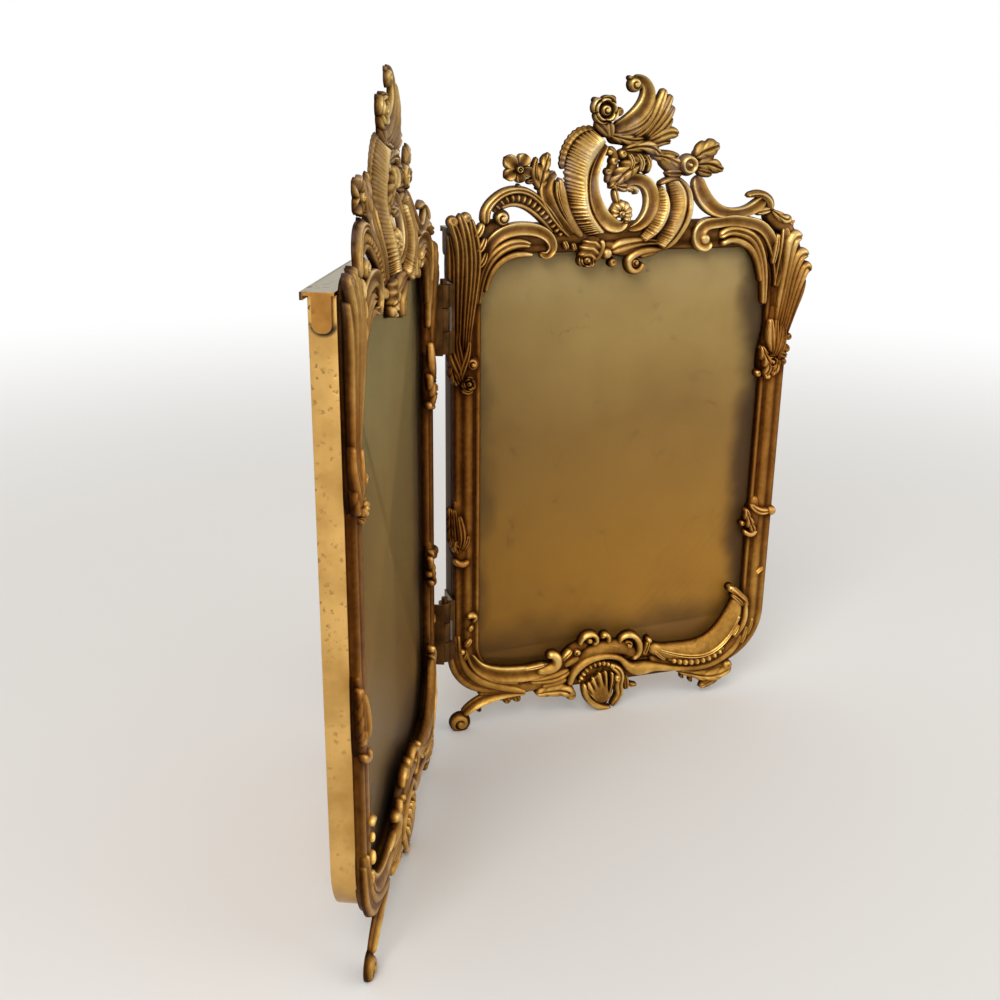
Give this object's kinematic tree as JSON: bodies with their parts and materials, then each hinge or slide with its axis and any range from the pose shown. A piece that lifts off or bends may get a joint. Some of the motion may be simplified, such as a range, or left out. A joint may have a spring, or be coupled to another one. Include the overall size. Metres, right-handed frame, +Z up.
{
  "type": "hinged double photo frame",
  "caption": "Hinged double photo frame in gilt cast brass: two rococo leaves with carved crests and scroll feet, glazed openings and sliding backs.",
  "frame": {"origin": "bottom centre of the box round the whole frame as it stands open", "axes": "+Z up; the right leaf runs along +X and faces -Y; the left leaf is folded forward about an upright axis at their meeting edge"},
  "size_m": [0.2022, 0.1356, 0.2309],
  "materials": {
    "gilt_casting": "mercury-gilt cast brass, rubbed bright on the high places and dark brown in the hollows",
    "tray_brass": "satin sheet brass with dark pits",
    "back_brass": "sheet brass, dulled by handling",
    "hinge_brass": "dark patinated brass",
    "window_glass": "clear sheet glass",
    "card": "golden brown paper-faced card",
    "board": "grey-brown strawboard"
  },
  "bodies": {
    "right_leaf": {"right_rail_frame": "gilt_casting", "right_crest": "gilt_casting", "right_apron": "gilt_casting", "right_side_knots": "gilt_casting", "right_tray": "tray_brass", "right_glass": "window_glass", "right_card_insert": "card", "right_backing_board": "board", "upper_hinge_right_plate": "hinge_brass", "lower_hinge_right_plate": "hinge_brass", "upper_hinge_pin": "hinge_brass", "lower_hinge_pin": "hinge_brass"},
    "left_leaf": {"left_rail_frame": "gilt_casting", "left_crest": "gilt_casting", "left_apron": "gilt_casting", "left_side_knots": "gilt_casting", "left_tray": "tray_brass", "left_glass": "window_glass", "left_card_insert": "card", "left_backing_board": "board", "upper_hinge_left_plate": "hinge_brass", "lower_hinge_left_plate": "hinge_brass"},
    "right_back": {"right_sliding_back": "back_brass"},
    "left_back": {"left_sliding_back": "back_brass"}
  },
  "joints": [
    {"name": "fold", "type": "hinge", "parent": "right_leaf", "child": "left_leaf", "pos_m": [-0.03775, 0.05434, 0.098], "axis": [0, 0, 1], "range_deg": [-67, 90]},
    {"name": "right_back_slide", "type": "slide", "parent": "right_leaf", "child": "right_back", "axis": [0, 0, 1], "range_m": [0, 0.17]},
    {"name": "left_back_slide", "type": "slide", "parent": "left_leaf", "child": "left_back", "axis": [0, 0, 1], "range_m": [0, 0.17]}
  ]
}
